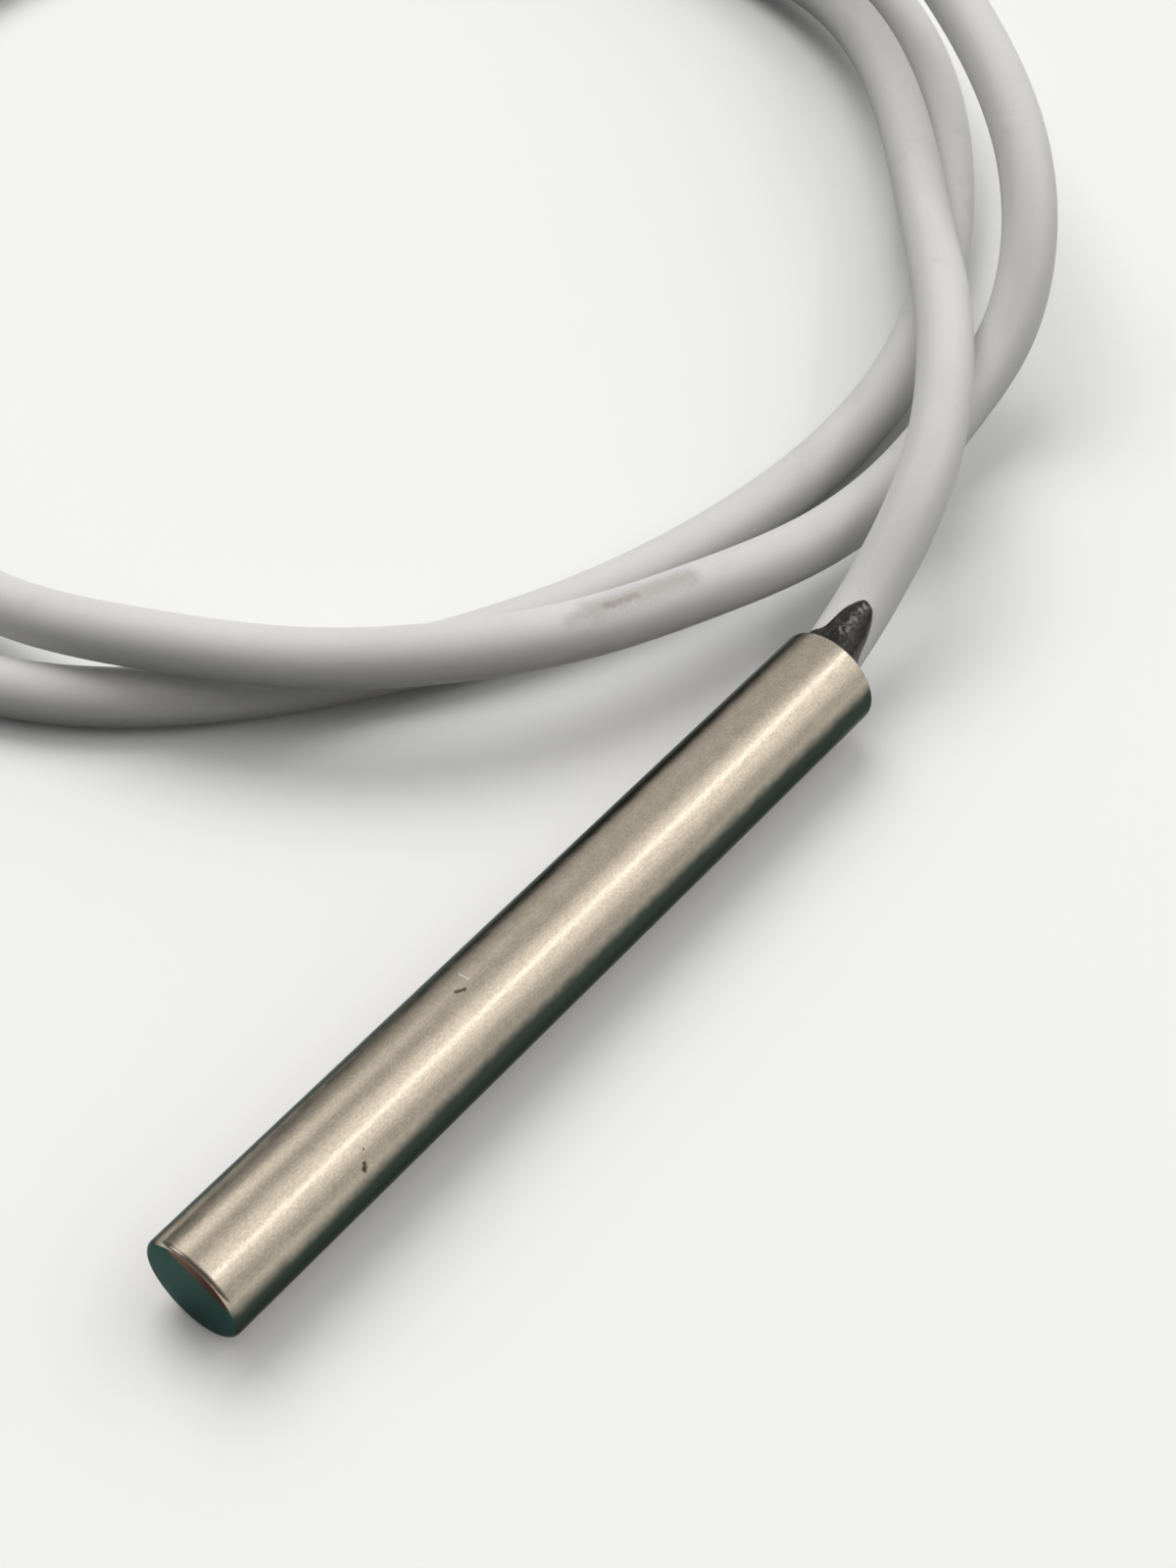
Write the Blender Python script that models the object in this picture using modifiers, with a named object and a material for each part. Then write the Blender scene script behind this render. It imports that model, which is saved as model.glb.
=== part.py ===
"""High-limit temperature sensor: a closed steel probe on a round two-core lead.

Metres, +Z up. The probe lies along X on the surface z = 0, its closed tip towards -X.
The origin is under the middle of the probe.
"""
import math

import bmesh
import bpy
import numpy as np
from mathutils import Vector

# Driving dimensions of the probe
tube_length = 0.050
tube_diameter = 0.006
tube_wall = 0.00035
tip_wall = 0.0006
tip_corner = 0.00035
rim_corner = 0.00008

# Clearances
fit_gap = 0.0001
inner_gap = 0.00015
seat_gap = 0.0003

# Sensing end
compound_length = 0.0048
compound_floor = 0.0006
bead_diameter = 0.0019
bead_length = 0.0028
lead_diameter = 0.0003
lead_pitch = 0.0009
lead_bend = 0.0016
lead_sleeve_wall = 0.00015

# Splices between the bead's leads and the cable's cores
barrel_length = 0.0060
barrel_wall = 0.00018
splice_sleeve_wall = 0.00025
splice_sleeve_overhang = 0.0009
lead_insertion = 0.0024
strand_insertion = 0.0024

# Cable
cable_diameter = 0.0034
cable_grip = 0.0160
core_diameter = 0.0013
core_spread = 0.0030
strand_diameter = 0.0006
strand_bare = 0.0036

# Seal at the mouth
seal_depth = 0.0100
seal_skin = 0.00027
seal_fillet = 0.0006
lean_turn = math.radians(36)
tongue_length = 0.0032
tongue_width = 0.0023
tongue_height = 0.00032
tongue_sink = 0.00065
tongue_turn = math.radians(24)

# Far end of the lead
end_sleeve_wall = 0.0005
end_sleeve_overlap = 0.0080
end_sleeve_overhang = 0.0040
neck_land = 0.0018
tail_length = 0.0220
plug_length = 0.0098
plug_width = 0.0074
plug_height = 0.0058
plug_edge = 0.0003
pin_pitch = 0.0025
front_wall = 0.0012
pin_window = 0.0010
rib_width = 0.0010
rib_height = 0.0006
rib_length = 0.0062
lance_window_length = 0.0018
lance_window_width = 0.0011
terminal_wall = 0.0002
terminal_length = 0.0066
terminal_box_length = 0.0034
crimp_overlap = 0.0023

# Steps around round pieces, and along the cable and its free cores
tube_steps = 48
solid_steps = 32
sleeve_steps = 20
cover_steps = 16
potted_steps = 2
cable_steps = 72
tail_steps = 11

# The lead's route from the mouth on, in millimetres: x past the mouth's plane, y, and the
# height of the cable's underside above the surface. It leaves the mouth, makes a loose ring
# of two and a half turns that cross each other, and ends outside the ring.
route_points = [
    (4.8, 1.0, 2.9), (8.8, 1.6, 4.6), (13.8, 3.2, 6.1), (18.8, 5.9, 6.6), (26.1, 11.1, 5.7),
    (34.2, 17.9, 4.0), (43.5, 26.4, 2.6), (51.5, 37.5, 1.5), (54.0, 49.5, 0.4), (52.6, 62.0, 0.1),
    (45.8, 76.0, 0.1), (32.6, 85.2, 0.1), (16.0, 87.8, 0.1), (-2.0, 84.6, 0.1), (-16.4, 72.6, 0.4),
    (-24.2, 55.0, 1.3), (-25.9, 38.7, 2.3), (-23.4, 29.3, 3.7), (-19.4, 21.9, 4.0),
    (-14.1, 16.0, 4.0), (-7.1, 11.4, 3.4), (0.1, 8.7, 2.5), (7.5, 6.6, 1.8), (12.5, 6.0, 1.6),
    (18.2, 6.2, 1.6), (22.8, 6.6, 2.1), (26.8, 6.9, 3.5), (30.4, 8.0, 5.7), (35.1, 11.2, 8.3),
    (41.7, 18.2, 9.7), (46.6, 24.7, 9.7), (54.0, 38.5, 9.1), (56.4, 50.5, 6.8), (55.4, 62.5, 4.0),
    (50.4, 78.0, 0.7), (35.6, 89.0, 0.1), (16.0, 91.75, 0.1), (-4.5, 88.3, 0.1), (-21.4, 75.6, 0.1),
    (-31.0, 56.5, 0.0), (-29.0, 35.9, 0.0), (-24.8, 29.5, 0.0), (-16.7, 22.2, 0.0),
    (-6.6, 16.2, 0.0), (6.4, 12.1, 0.0), (17.3, 11.3, 0.0), (28.1, 13.4, 0.0), (39.6, 19.3, 0.0),
    (49.1, 26.9, 0.0), (55.8, 35.9, 0.0), (58.6, 44.0, 0.25), (59.5, 52.5, 0.65), (58.6, 60.9, 0.7),
]

# What follows from them
tube_radius = tube_diameter / 2
bore_radius = tube_radius - tube_wall
axis_height = tube_radius
mouth_x = tube_length / 2
tip_x = -tube_length / 2
seal_radius = bore_radius - fit_gap
cable_radius = cable_diameter / 2
lean = bore_radius - cable_radius - seal_skin
mouth_sideways = lean * math.sin(lean_turn)
mouth_lift = lean * math.cos(lean_turn)
barrel_bore_radius = strand_diameter / 2 + fit_gap
barrel_radius = barrel_bore_radius + barrel_wall
splice_sleeve_bore_radius = barrel_radius + fit_gap
splice_sleeve_radius = splice_sleeve_bore_radius + splice_sleeve_wall
lead_sleeve_bore_radius = lead_diameter / 2 + fit_gap
lead_sleeve_radius = lead_sleeve_bore_radius + lead_sleeve_wall
lane = splice_sleeve_radius + seat_gap / 2
core_lane = (core_diameter + fit_gap) / 2
compound_start = tip_x + tip_wall + fit_gap
compound_end = compound_start + compound_length
bead_end = compound_start + compound_floor + fit_gap + bead_length
jacket_end = mouth_x - cable_grip
barrel_start = (compound_end + jacket_end - barrel_length) / 2
barrel_end = barrel_start + barrel_length
core_end = barrel_end - strand_insertion + strand_bare
terminal_size = core_diameter + 2 * fit_gap + 2 * terminal_wall
cavity_size = terminal_size + 2 * fit_gap
terminal_start = plug_length - front_wall - seat_gap - terminal_length
to_x = (0, math.pi / 2, 0)


def clear_scene():
    for item in list(bpy.data.objects):
        bpy.data.objects.remove(item, do_unlink=True)


def collection(name):
    made = bpy.data.collections.new(name)
    bpy.context.scene.collection.children.link(made)
    return made


def material(name, colour, roughness, metallic=0.0):
    made = bpy.data.materials.new(name)
    made.use_nodes = True
    shader = made.node_tree.nodes["Principled BSDF"]
    shader.inputs["Base Color"].default_value = (*colour, 1.0)
    shader.inputs["Roughness"].default_value = roughness
    shader.inputs["Metallic"].default_value = metallic
    made.diffuse_color = (*colour, 1.0)
    return made


def place(item, home, look=None, location=(0, 0, 0), rotation=(0, 0, 0)):
    home.objects.link(item)
    item.location = location
    item.rotation_euler = rotation
    if look is not None:
        item.data.materials.append(look)
    if home is cutters:
        item.hide_render = True
        item.display_type = "WIRE"
    return item


def rounded(radius, x, y, start, end, steps=4):
    """Points of an arc about (x, y), angles in degrees."""
    angles = np.radians(np.linspace(start, end, steps + 1))
    return [(x + radius * math.cos(a), y + radius * math.sin(a)) for a in angles]


def turned(name, profile, closed, home, look=None, location=(0, 0, 0), steps=solid_steps):
    """A profile of (radius, distance along the axis) turned about X."""
    mesh = bpy.data.meshes.new(name)
    points = [(radius, 0.0, along) for radius, along in profile]
    edges = [(i, i + 1) for i in range(len(points) - 1)]
    if closed:
        edges.append((len(points) - 1, 0))
    mesh.from_pydata(points, edges, [])
    item = place(bpy.data.objects.new(name, mesh), home, look, location, to_x)
    screw = item.modifiers.new("Turn", "SCREW")
    screw.steps = steps
    screw.render_steps = steps
    screw.use_merge_vertices = True
    screw.merge_threshold = 0.000005
    screw.use_smooth_shade = True
    return item


def sleeve(name, inner, outer, start, end, y, look):
    """A thin straight tube along X, y to one side of the probe's axis."""
    profile = [(inner, end - start), (outer, end - start), (outer, 0.0), (inner, 0.0)]
    return turned(name, profile, True, parts, look, (start, y, axis_height), sleeve_steps)


def wire(name, points, radius, home, look=None, resolution=2):
    """A round wire, core or cable through the points, with closed ends."""
    curve = bpy.data.curves.new(name, "CURVE")
    curve.dimensions = "3D"
    curve.bevel_depth = radius
    curve.bevel_resolution = resolution
    curve.use_fill_caps = True
    spline = curve.splines.new("POLY")
    spline.points.add(len(points) - 1)
    for point, place_at in zip(spline.points, points):
        point.co = (*place_at, 1.0)
    return place(bpy.data.objects.new(name, curve), home, look)


def as_mesh(item):
    """The curve object as a mesh object with welded caps."""
    name, home = item.name, item.users_collection[0]
    matrix = item.matrix_world.copy()
    graph = bpy.context.evaluated_depsgraph_get()
    mesh = bpy.data.meshes.new_from_object(item.evaluated_get(graph))
    bpy.data.objects.remove(item, do_unlink=True)
    shape = bmesh.new()
    shape.from_mesh(mesh)
    bmesh.ops.remove_doubles(shape, verts=shape.verts, dist=0.000005)
    shape.to_mesh(mesh)
    shape.free()
    made = place(bpy.data.objects.new(name, mesh), home)
    made.matrix_world = matrix
    return made


def box(name, size, home, look=None, location=(0, 0, 0), rotation=(0, 0, 0)):
    shape = bmesh.new()
    bmesh.ops.create_cube(shape, size=1.0)
    bmesh.ops.scale(shape, vec=size, verts=shape.verts)
    mesh = bpy.data.meshes.new(name)
    shape.to_mesh(mesh)
    shape.free()
    return place(bpy.data.objects.new(name, mesh), home, look, location, rotation)


def ring_solid(name, rings, home, look=None):
    """Skin over closed sections, of which the first one follows the last."""
    around = len(rings[0])
    faces = []
    for i in range(len(rings)):
        here, there = i * around, (i + 1) % len(rings) * around
        for j in range(around):
            k = (j + 1) % around
            faces.append((here + j, here + k, there + k, there + j))
    mesh = bpy.data.meshes.new(name)
    mesh.from_pydata([tuple(point) for ring in rings for point in ring], [], faces)
    shape = bmesh.new()
    shape.from_mesh(mesh)
    bmesh.ops.recalc_face_normals(shape, faces=shape.faces)
    shape.to_mesh(mesh)
    shape.free()
    return place(bpy.data.objects.new(name, mesh), home, look)


def boolean(item, other, operation):
    step = item.modifiers.new(operation.title(), "BOOLEAN")
    step.operation = operation
    step.solver = "EXACT"
    step.object = other
    return item


def smooth_curve(points, stretches):
    """Points on the natural cubic spline through the given ones.

    Each stretch is the index of the point it ends at and its number of even steps.
    """
    knots = np.array(points, dtype=float)
    chords = np.linalg.norm(np.diff(knots, axis=0), axis=1)
    at = np.concatenate([[0.0], np.cumsum(chords)])
    size = len(knots)
    matrix = np.eye(size)
    bends = np.zeros((size, 3))
    for i in range(1, size - 1):
        matrix[i, i - 1:i + 2] = chords[i - 1], 2 * (chords[i - 1] + chords[i]), chords[i]
        after = (knots[i + 1] - knots[i]) / chords[i]
        before = (knots[i] - knots[i - 1]) / chords[i - 1]
        bends[i] = 6 * (after - before)
    bends = np.linalg.solve(matrix, bends)
    wanted = np.zeros(1)
    for knot, steps in stretches:
        wanted = np.append(wanted, np.linspace(wanted[-1], at[knot], steps + 1)[1:])
    k = np.clip(np.searchsorted(at, wanted, side="right") - 1, 0, size - 2)
    chord = chords[k][:, None]
    left = (at[k + 1] - wanted)[:, None]
    right = (wanted - at[k])[:, None]
    cubic = (bends[k] * left**3 + bends[k + 1] * right**3) / (6 * chord)
    start = (knots[k] / chord - bends[k] * chord / 6) * left
    end = (knots[k + 1] / chord - bends[k + 1] * chord / 6) * right
    return cubic + start + end


def cable_path():
    """The cable's centre line, from its potted end in the probe to its far end, and its way there."""
    inside = [
        (jacket_end, 0.0, axis_height),
        (mouth_x - cable_grip / 2, mouth_sideways / 4, axis_height + mouth_lift / 4),
        (mouth_x, mouth_sideways, axis_height + mouth_lift),
    ]
    outside = [(mouth_x + x / 1000, y / 1000, cable_radius + z / 1000) for x, y, z in route_points]
    knots = inside + outside
    last = len(knots) - 1
    fine = smooth_curve(knots, [(last, 50 * cable_steps)])
    return smooth_curve(knots, [(2, potted_steps), (last, cable_steps)]), Vector(fine[-1] - fine[-2])


def probe_tube():
    """Deep-drawn tube with a flat closed tip and a plain cut mouth."""
    corner = min(tip_corner, tip_wall, tube_wall)
    profile = [(0.0, tip_wall), (bore_radius, tip_wall), (bore_radius, tube_length)]
    profile += reversed(rounded(rim_corner, tube_radius - rim_corner, tube_length - rim_corner, 0, 90, 2))
    profile += rounded(corner, tube_radius - corner, corner, 0, -90, 5)
    profile += [(0.0, 0.0)]
    turned("probe_tube", profile, False, parts, steel, (tip_x, 0, axis_height), tube_steps)


def sensing_end():
    """Heat-transfer compound in the tip, with the bead in its pocket."""
    pocket = bead_diameter / 2 + inner_gap
    profile = [
        (0.0, compound_floor), (pocket, compound_floor), (pocket, compound_length),
        (seal_radius, compound_length), (seal_radius, 0.0), (0.0, 0.0),
    ]
    turned("tip_compound", profile, False, parts, white_paste, (compound_start, 0, axis_height))
    angles = np.linspace(0.0, math.pi, 10)
    half = bead_length / 2
    drop = [(bead_diameter / 2 * math.sin(a), half * math.cos(a)) for a in angles[1:-1]]
    drop = [(0.0, half)] + drop + [(0.0, -half)]
    turned("sensing_bead", drop, False, parts, bead_epoxy, (bead_end - half, 0, axis_height))


def splices():
    """The bead's two leads, each crimped to a core's strands under a sleeve of its own."""
    for letter, side in (("a", 1), ("b", -1)):
        near = side * lead_pitch / 2
        y = side * lane
        line = [(bead_end + fit_gap / 2, near), (compound_end, near), (compound_end + lead_bend, y)]
        line += [(barrel_start + lead_insertion, y)]
        line = [(x, off, axis_height) for x, off in line]
        wire("bead_lead_" + letter, line, lead_diameter / 2, parts, nickel)
        cover_start = barrel_start - splice_sleeve_overhang
        cover_end = barrel_end + splice_sleeve_overhang
        sleeve("lead_sleeve_" + letter, lead_sleeve_bore_radius, lead_sleeve_radius,
               compound_end + lead_bend + inner_gap, cover_start - inner_gap, y, clear_sleeve)
        sleeve("splice_barrel_" + letter, barrel_bore_radius, barrel_radius,
               barrel_start, barrel_end, y, tinned_copper)
        sleeve("splice_sleeve_" + letter, splice_sleeve_bore_radius, splice_sleeve_radius,
               cover_start, cover_end, y, black_sleeve)


def inner_cores():
    """The cable's two cores where the jacket is stripped inside the probe."""
    for letter, side, look in (("a", 1, red_core), ("b", -1, white_core)):
        start = jacket_end - fit_gap
        line = [(start, core_lane), (start - core_spread / 3, core_lane)]
        line += [(start - core_spread, lane), (core_end, lane)]
        line = [(x, side * off, axis_height) for x, off in line]
        wire("core_" + letter, line, core_diameter / 2, parts, look)
        bare = [
            (core_end - fit_gap / 2, side * lane, axis_height),
            (core_end - strand_bare, side * lane, axis_height),
        ]
        wire("conductor_" + letter, bare, strand_diameter / 2, parts, bare_copper)


def epoxy_seal(path):
    """Potting in the mouth, drawn up to a tongue on the cable's upper side."""
    hole_radius = cable_radius + fit_gap
    width = min(seal_fillet, seal_radius - hole_radius)
    profile = [(0.0, seal_depth + seal_fillet)]
    for angle in np.linspace(0.0, math.pi / 2, 4):
        along = seal_depth + seal_fillet * (1 - math.sin(angle))
        profile.append((hole_radius + width * (1 - math.cos(angle)), along))
    profile += [(seal_radius, seal_depth), (seal_radius, 0.0), (0.0, 0.0)]
    at = (mouth_x - seal_depth, 0, axis_height)
    seal = turned("epoxy_seal", profile, False, parts, potting, at)

    # The tongue is a flat drop, and the cable's own shape cuts its lower half away.
    mouth = Vector((mouth_x, mouth_sideways, axis_height + mouth_lift))
    ahead = (Vector(path[potted_steps + 1]) - mouth).normalized()
    outwards = Vector((0, -math.sin(tongue_turn), math.cos(tongue_turn)))
    outwards = (outwards - ahead * outwards.dot(ahead)).normalized()
    across = ahead.cross(outwards)
    middle = mouth + outwards * (cable_radius - tongue_sink)
    reach = tongue_sink + fit_gap + tongue_height
    shape = bmesh.new()
    bmesh.ops.create_uvsphere(shape, u_segments=24, v_segments=14, radius=1.0)
    for vertex in shape.verts:
        x, y, z = vertex.co
        spread = ahead * x * tongue_length + across * y * tongue_width / 2
        vertex.co = middle + spread + outwards * z * reach
    bmesh.ops.recalc_face_normals(shape, faces=shape.faces)
    mesh = bpy.data.meshes.new("tongue_form")
    shape.to_mesh(mesh)
    shape.free()
    tongue = place(bpy.data.objects.new("tongue_form", mesh), cutters)

    # Only what lies past the mouth's plane stays of the drop.
    depth = 2 * tongue_length
    back = box("tongue_back", (depth, 2 * tube_diameter, 2 * tube_diameter), cutters, None,
               (mouth_x + fit_gap - depth / 2, 0, axis_height))
    boolean(tongue, back, "DIFFERENCE")
    boolean(seal, tongue, "UNION")
    line = [tuple(p) for p in path[:potted_steps + 3]]
    hole = as_mesh(wire("seal_hole", line, hole_radius, cutters, None, 4))
    boolean(seal, hole, "DIFFERENCE")


def end_cover(end, behind, along):
    """Heat-shrink sleeve, round over the jacket's end and necked to the pair of free cores."""
    round_size = (cable_radius + fit_gap, cable_radius + fit_gap)
    pair_size = (core_lane + core_diameter / 2 + fit_gap, core_diameter / 2 + fit_gap)
    middle_size = tuple((a + b) / 2 for a, b in zip(round_size, pair_size))
    neck_end = end_sleeve_overhang - neck_land
    stations = [
        (end - behind * end_sleeve_overlap, behind, round_size),
        (end + along * fit_gap, (behind + along).normalized(), round_size),
        (end + along * (fit_gap + neck_end) / 2, along, middle_size),
        (end + along * neck_end, along, pair_size),
        (end + along * end_sleeve_overhang, along, pair_size),
    ]

    def section(station, wall):
        centre, ahead, (wide, high) = station
        across = Vector((-ahead.y, ahead.x, 0)).normalized()
        above = ahead.cross(across)
        turns = np.linspace(0.0, 2 * math.pi, cover_steps, endpoint=False)
        return [centre + across * (wide + wall) * math.cos(a) + above * (high + wall) * math.sin(a)
                for a in turns]

    rings = [section(station, end_sleeve_wall) for station in stations]
    rings += [section(station, 0.0) for station in reversed(stations)]
    ring_solid("end_sleeve", rings, parts, black_sleeve)


def terminal(letter, rear, along, turn):
    """Box contact: a square tube, open on top over the crimped core behind it."""
    turned_so = (0, 0, turn)
    centre = rear + along * (terminal_start + terminal_length / 2)
    contact = box("plug_terminal_" + letter, (terminal_length, terminal_size, terminal_size), parts,
                  tinned_copper, centre, turned_so)
    inner = terminal_size - 2 * terminal_wall
    tunnel = box("terminal_tunnel_" + letter, (2 * terminal_length, inner, inner), cutters, None,
                 centre, turned_so)
    boolean(contact, tunnel, "DIFFERENCE")
    open_length = 2 * (terminal_length - terminal_box_length)
    lid = rear + along * terminal_start
    lid.z += terminal_size / 2
    opening = box("terminal_opening_" + letter, (open_length, 2 * terminal_size, terminal_size),
                  cutters, None, lid, turned_so)
    boolean(contact, opening, "DIFFERENCE")


def far_end(path, ahead):
    """What is on the lead's far end: sleeve, free cores and plug."""
    end = Vector(path[-1])
    behind = (end - Vector(path[-2])).normalized()
    along = Vector((ahead.x, ahead.y, 0.0)).normalized()
    aside = Vector((-along.y, along.x, 0))
    turn = math.atan2(along.y, along.x)
    end_cover(end, behind, along)
    plug_rear = end + along * tail_length
    plug_rear.z = plug_height / 2
    for letter, side, look in (("a", 1, red_core), ("b", -1, white_core)):
        start = end + along * fit_gap + aside * side * core_lane
        grip = end + along * end_sleeve_overhang + aside * side * core_lane
        rear = plug_rear + aside * side * pin_pitch / 2
        near = rear - along * (tail_length / 4)
        inside = rear + along * (terminal_start + crimp_overlap)
        knots = [tuple(p) for p in (start, grip, near, rear, inside)]
        line = smooth_curve(knots, [(len(knots) - 1, tail_steps)])
        wire("tail_core_" + letter, [tuple(p) for p in line], core_diameter / 2, parts, look)
        terminal(letter, rear, along, turn)
    plug_housing(plug_rear, along, aside, turn)


def plug_housing(rear, along, aside, turn):
    """Two-way receptacle with guide ribs, wire cavities and lance windows."""
    turned_so = (0, 0, turn)
    middle = rear + along * plug_length / 2
    body = box("plug_housing", (plug_length, plug_width, plug_height), parts, white_nylon,
               middle, turned_so)
    edge = body.modifiers.new("Edges", "BEVEL")
    edge.width = plug_edge
    edge.segments = 2
    for letter, side in (("a", 1), ("b", -1)):
        rib_at = middle + aside * side * (plug_width / 2 - rib_width)
        rib_at.z = plug_height + (rib_height - plug_edge) / 2
        rib = box("rib_form_" + letter, (rib_length, rib_width, rib_height + plug_edge), cutters,
                  None, rib_at, turned_so)
        boolean(body, rib, "UNION")
    for letter, side in (("a", 1), ("b", -1)):
        lane_at = rear + aside * side * pin_pitch / 2
        depth = plug_length - front_wall
        cavity = box("cavity_" + letter, (2 * depth, cavity_size, cavity_size), cutters, None,
                     lane_at, turned_so)
        boolean(body, cavity, "DIFFERENCE")
        window = box("pin_window_" + letter, (4 * front_wall, pin_window, pin_window), cutters,
                     None, lane_at + along * plug_length, turned_so)
        boolean(body, window, "DIFFERENCE")
        lance_at = lane_at + along * plug_length / 2
        lance_at.z = plug_height
        lance = box("lance_window_" + letter, (lance_window_length, lance_window_width, plug_height),
                    cutters, None, lance_at, turned_so)
        boolean(body, lance, "DIFFERENCE")


clear_scene()
parts = collection("high_limit_sensor")
cutters = collection("cutters")

steel = material("steel", (0.56, 0.52, 0.46), 0.32, 1.0)
white_paste = material("white_paste", (0.82, 0.82, 0.80), 0.6)
bead_epoxy = material("bead_epoxy", (0.03, 0.03, 0.035), 0.3)
nickel = material("nickel", (0.62, 0.60, 0.56), 0.35, 1.0)
clear_sleeve = material("clear_sleeve", (0.75, 0.72, 0.62), 0.4)
tinned_copper = material("tinned_copper", (0.70, 0.70, 0.68), 0.3, 1.0)
bare_copper = material("bare_copper", (0.72, 0.40, 0.25), 0.35, 1.0)
black_sleeve = material("black_sleeve", (0.03, 0.03, 0.03), 0.5)
red_core = material("red_core", (0.50, 0.03, 0.03), 0.45)
white_core = material("white_core", (0.78, 0.78, 0.76), 0.45)
grey_jacket = material("grey_jacket", (0.62, 0.61, 0.60), 0.55)
potting = material("potting", (0.035, 0.028, 0.026), 0.28)
white_nylon = material("white_nylon", (0.80, 0.79, 0.74), 0.45)

centre_line, way_out = cable_path()
probe_tube()
sensing_end()
splices()
inner_cores()
wire("cable", [tuple(p) for p in centre_line], cable_radius, parts, grey_jacket)
epoxy_seal(centre_line)
far_end(centre_line, way_out)
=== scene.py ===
import math

import bmesh
import bpy
import numpy as np
from mathutils import Matrix, Vector, noise


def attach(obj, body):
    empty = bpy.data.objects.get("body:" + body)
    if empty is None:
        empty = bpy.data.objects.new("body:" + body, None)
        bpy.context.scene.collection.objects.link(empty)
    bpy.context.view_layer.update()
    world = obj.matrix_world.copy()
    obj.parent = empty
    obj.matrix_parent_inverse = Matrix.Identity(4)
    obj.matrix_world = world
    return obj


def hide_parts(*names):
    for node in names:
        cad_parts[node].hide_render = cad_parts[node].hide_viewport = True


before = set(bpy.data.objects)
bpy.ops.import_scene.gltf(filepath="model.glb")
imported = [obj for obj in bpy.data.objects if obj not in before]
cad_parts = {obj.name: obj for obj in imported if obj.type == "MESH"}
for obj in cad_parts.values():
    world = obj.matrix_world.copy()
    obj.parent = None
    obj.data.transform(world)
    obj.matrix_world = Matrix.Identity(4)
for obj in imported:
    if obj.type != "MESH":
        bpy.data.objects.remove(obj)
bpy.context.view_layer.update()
bpy.context.scene.view_settings.view_transform = "Standard"
print("frame loaded:", len(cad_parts), "solids")


def addNode(tree, kind, inputs=None, **settings):
    node = tree.nodes.new(kind)
    for name, value in settings.items():
        setattr(node, name, value)
    for key, value in (inputs or {}).items():
        if isinstance(value, bpy.types.NodeSocket):
            tree.links.new(value, node.inputs[key])
        else:
            node.inputs[key].default_value = value
    return node


def mathOf(tree, operation, a, b=0.0, c=0.0, clamp=False):
    node = addNode(tree, "ShaderNodeMath", {0: a, 1: b, 2: c}, operation=operation, use_clamp=clamp)
    return node.outputs[0]


def vectorOf(tree, operation, a, b=(0.0, 0.0, 0.0)):
    node = addNode(tree, "ShaderNodeVectorMath", {0: a, 1: b}, operation=operation)
    return node.outputs["Value" if operation in ("LENGTH", "DOT_PRODUCT") else "Vector"]


def rangeOf(tree, value, low, high, start=0.0, end=1.0):
    inputs = {"Value": value, "From Min": low, "From Max": high, "To Min": start, "To Max": end}
    node = addNode(tree, "ShaderNodeMapRange", inputs, interpolation_type="SMOOTHSTEP")
    return node.outputs["Result"]


def mixOf(tree, factor, a, b):
    node = addNode(tree, "ShaderNodeMix", {0: factor, 6: a, 7: b}, data_type="RGBA")
    return node.outputs[2]


def noiseOf(tree, vector, scale, detail, rough=0.5):
    inputs = {"Vector": vector, "Scale": scale, "Detail": detail, "Roughness": rough}
    return addNode(tree, "ShaderNodeTexNoise", inputs).outputs[0]


def times(tree, a, b):
    return mathOf(tree, "MULTIPLY", a, b)


def plus(tree, a, b):
    return mathOf(tree, "ADD", a, b)


def minus(tree, a, b):
    return mathOf(tree, "SUBTRACT", a, b)


def colour(red, green, blue):
    return (red, green, blue, 1.0)


def newItem(name, data):
    item = bpy.data.objects.new(name, data)
    bpy.context.scene.collection.objects.link(item)
    return item


view = {
    "place": (-0.06341, -0.05571, 0.11764),
    "tilt": 39.917,      # degrees up from straight down
    "heading": -50.473,  # degrees about Z
    "lens": 64.0, "film": 36.0,   # mm
    "clip": (0.005, 20.0),
}

cameraData = bpy.data.cameras.new("camera")
cameraData.lens = view["lens"]
cameraData.sensor_width = view["film"]
cameraData.clip_start, cameraData.clip_end = view["clip"]
camera = newItem("camera", cameraData)
camera.location = view["place"]
camera.rotation_euler = (math.radians(view["tilt"]), 0.0, math.radians(view["heading"]))
bpy.context.scene.camera = camera


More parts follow.
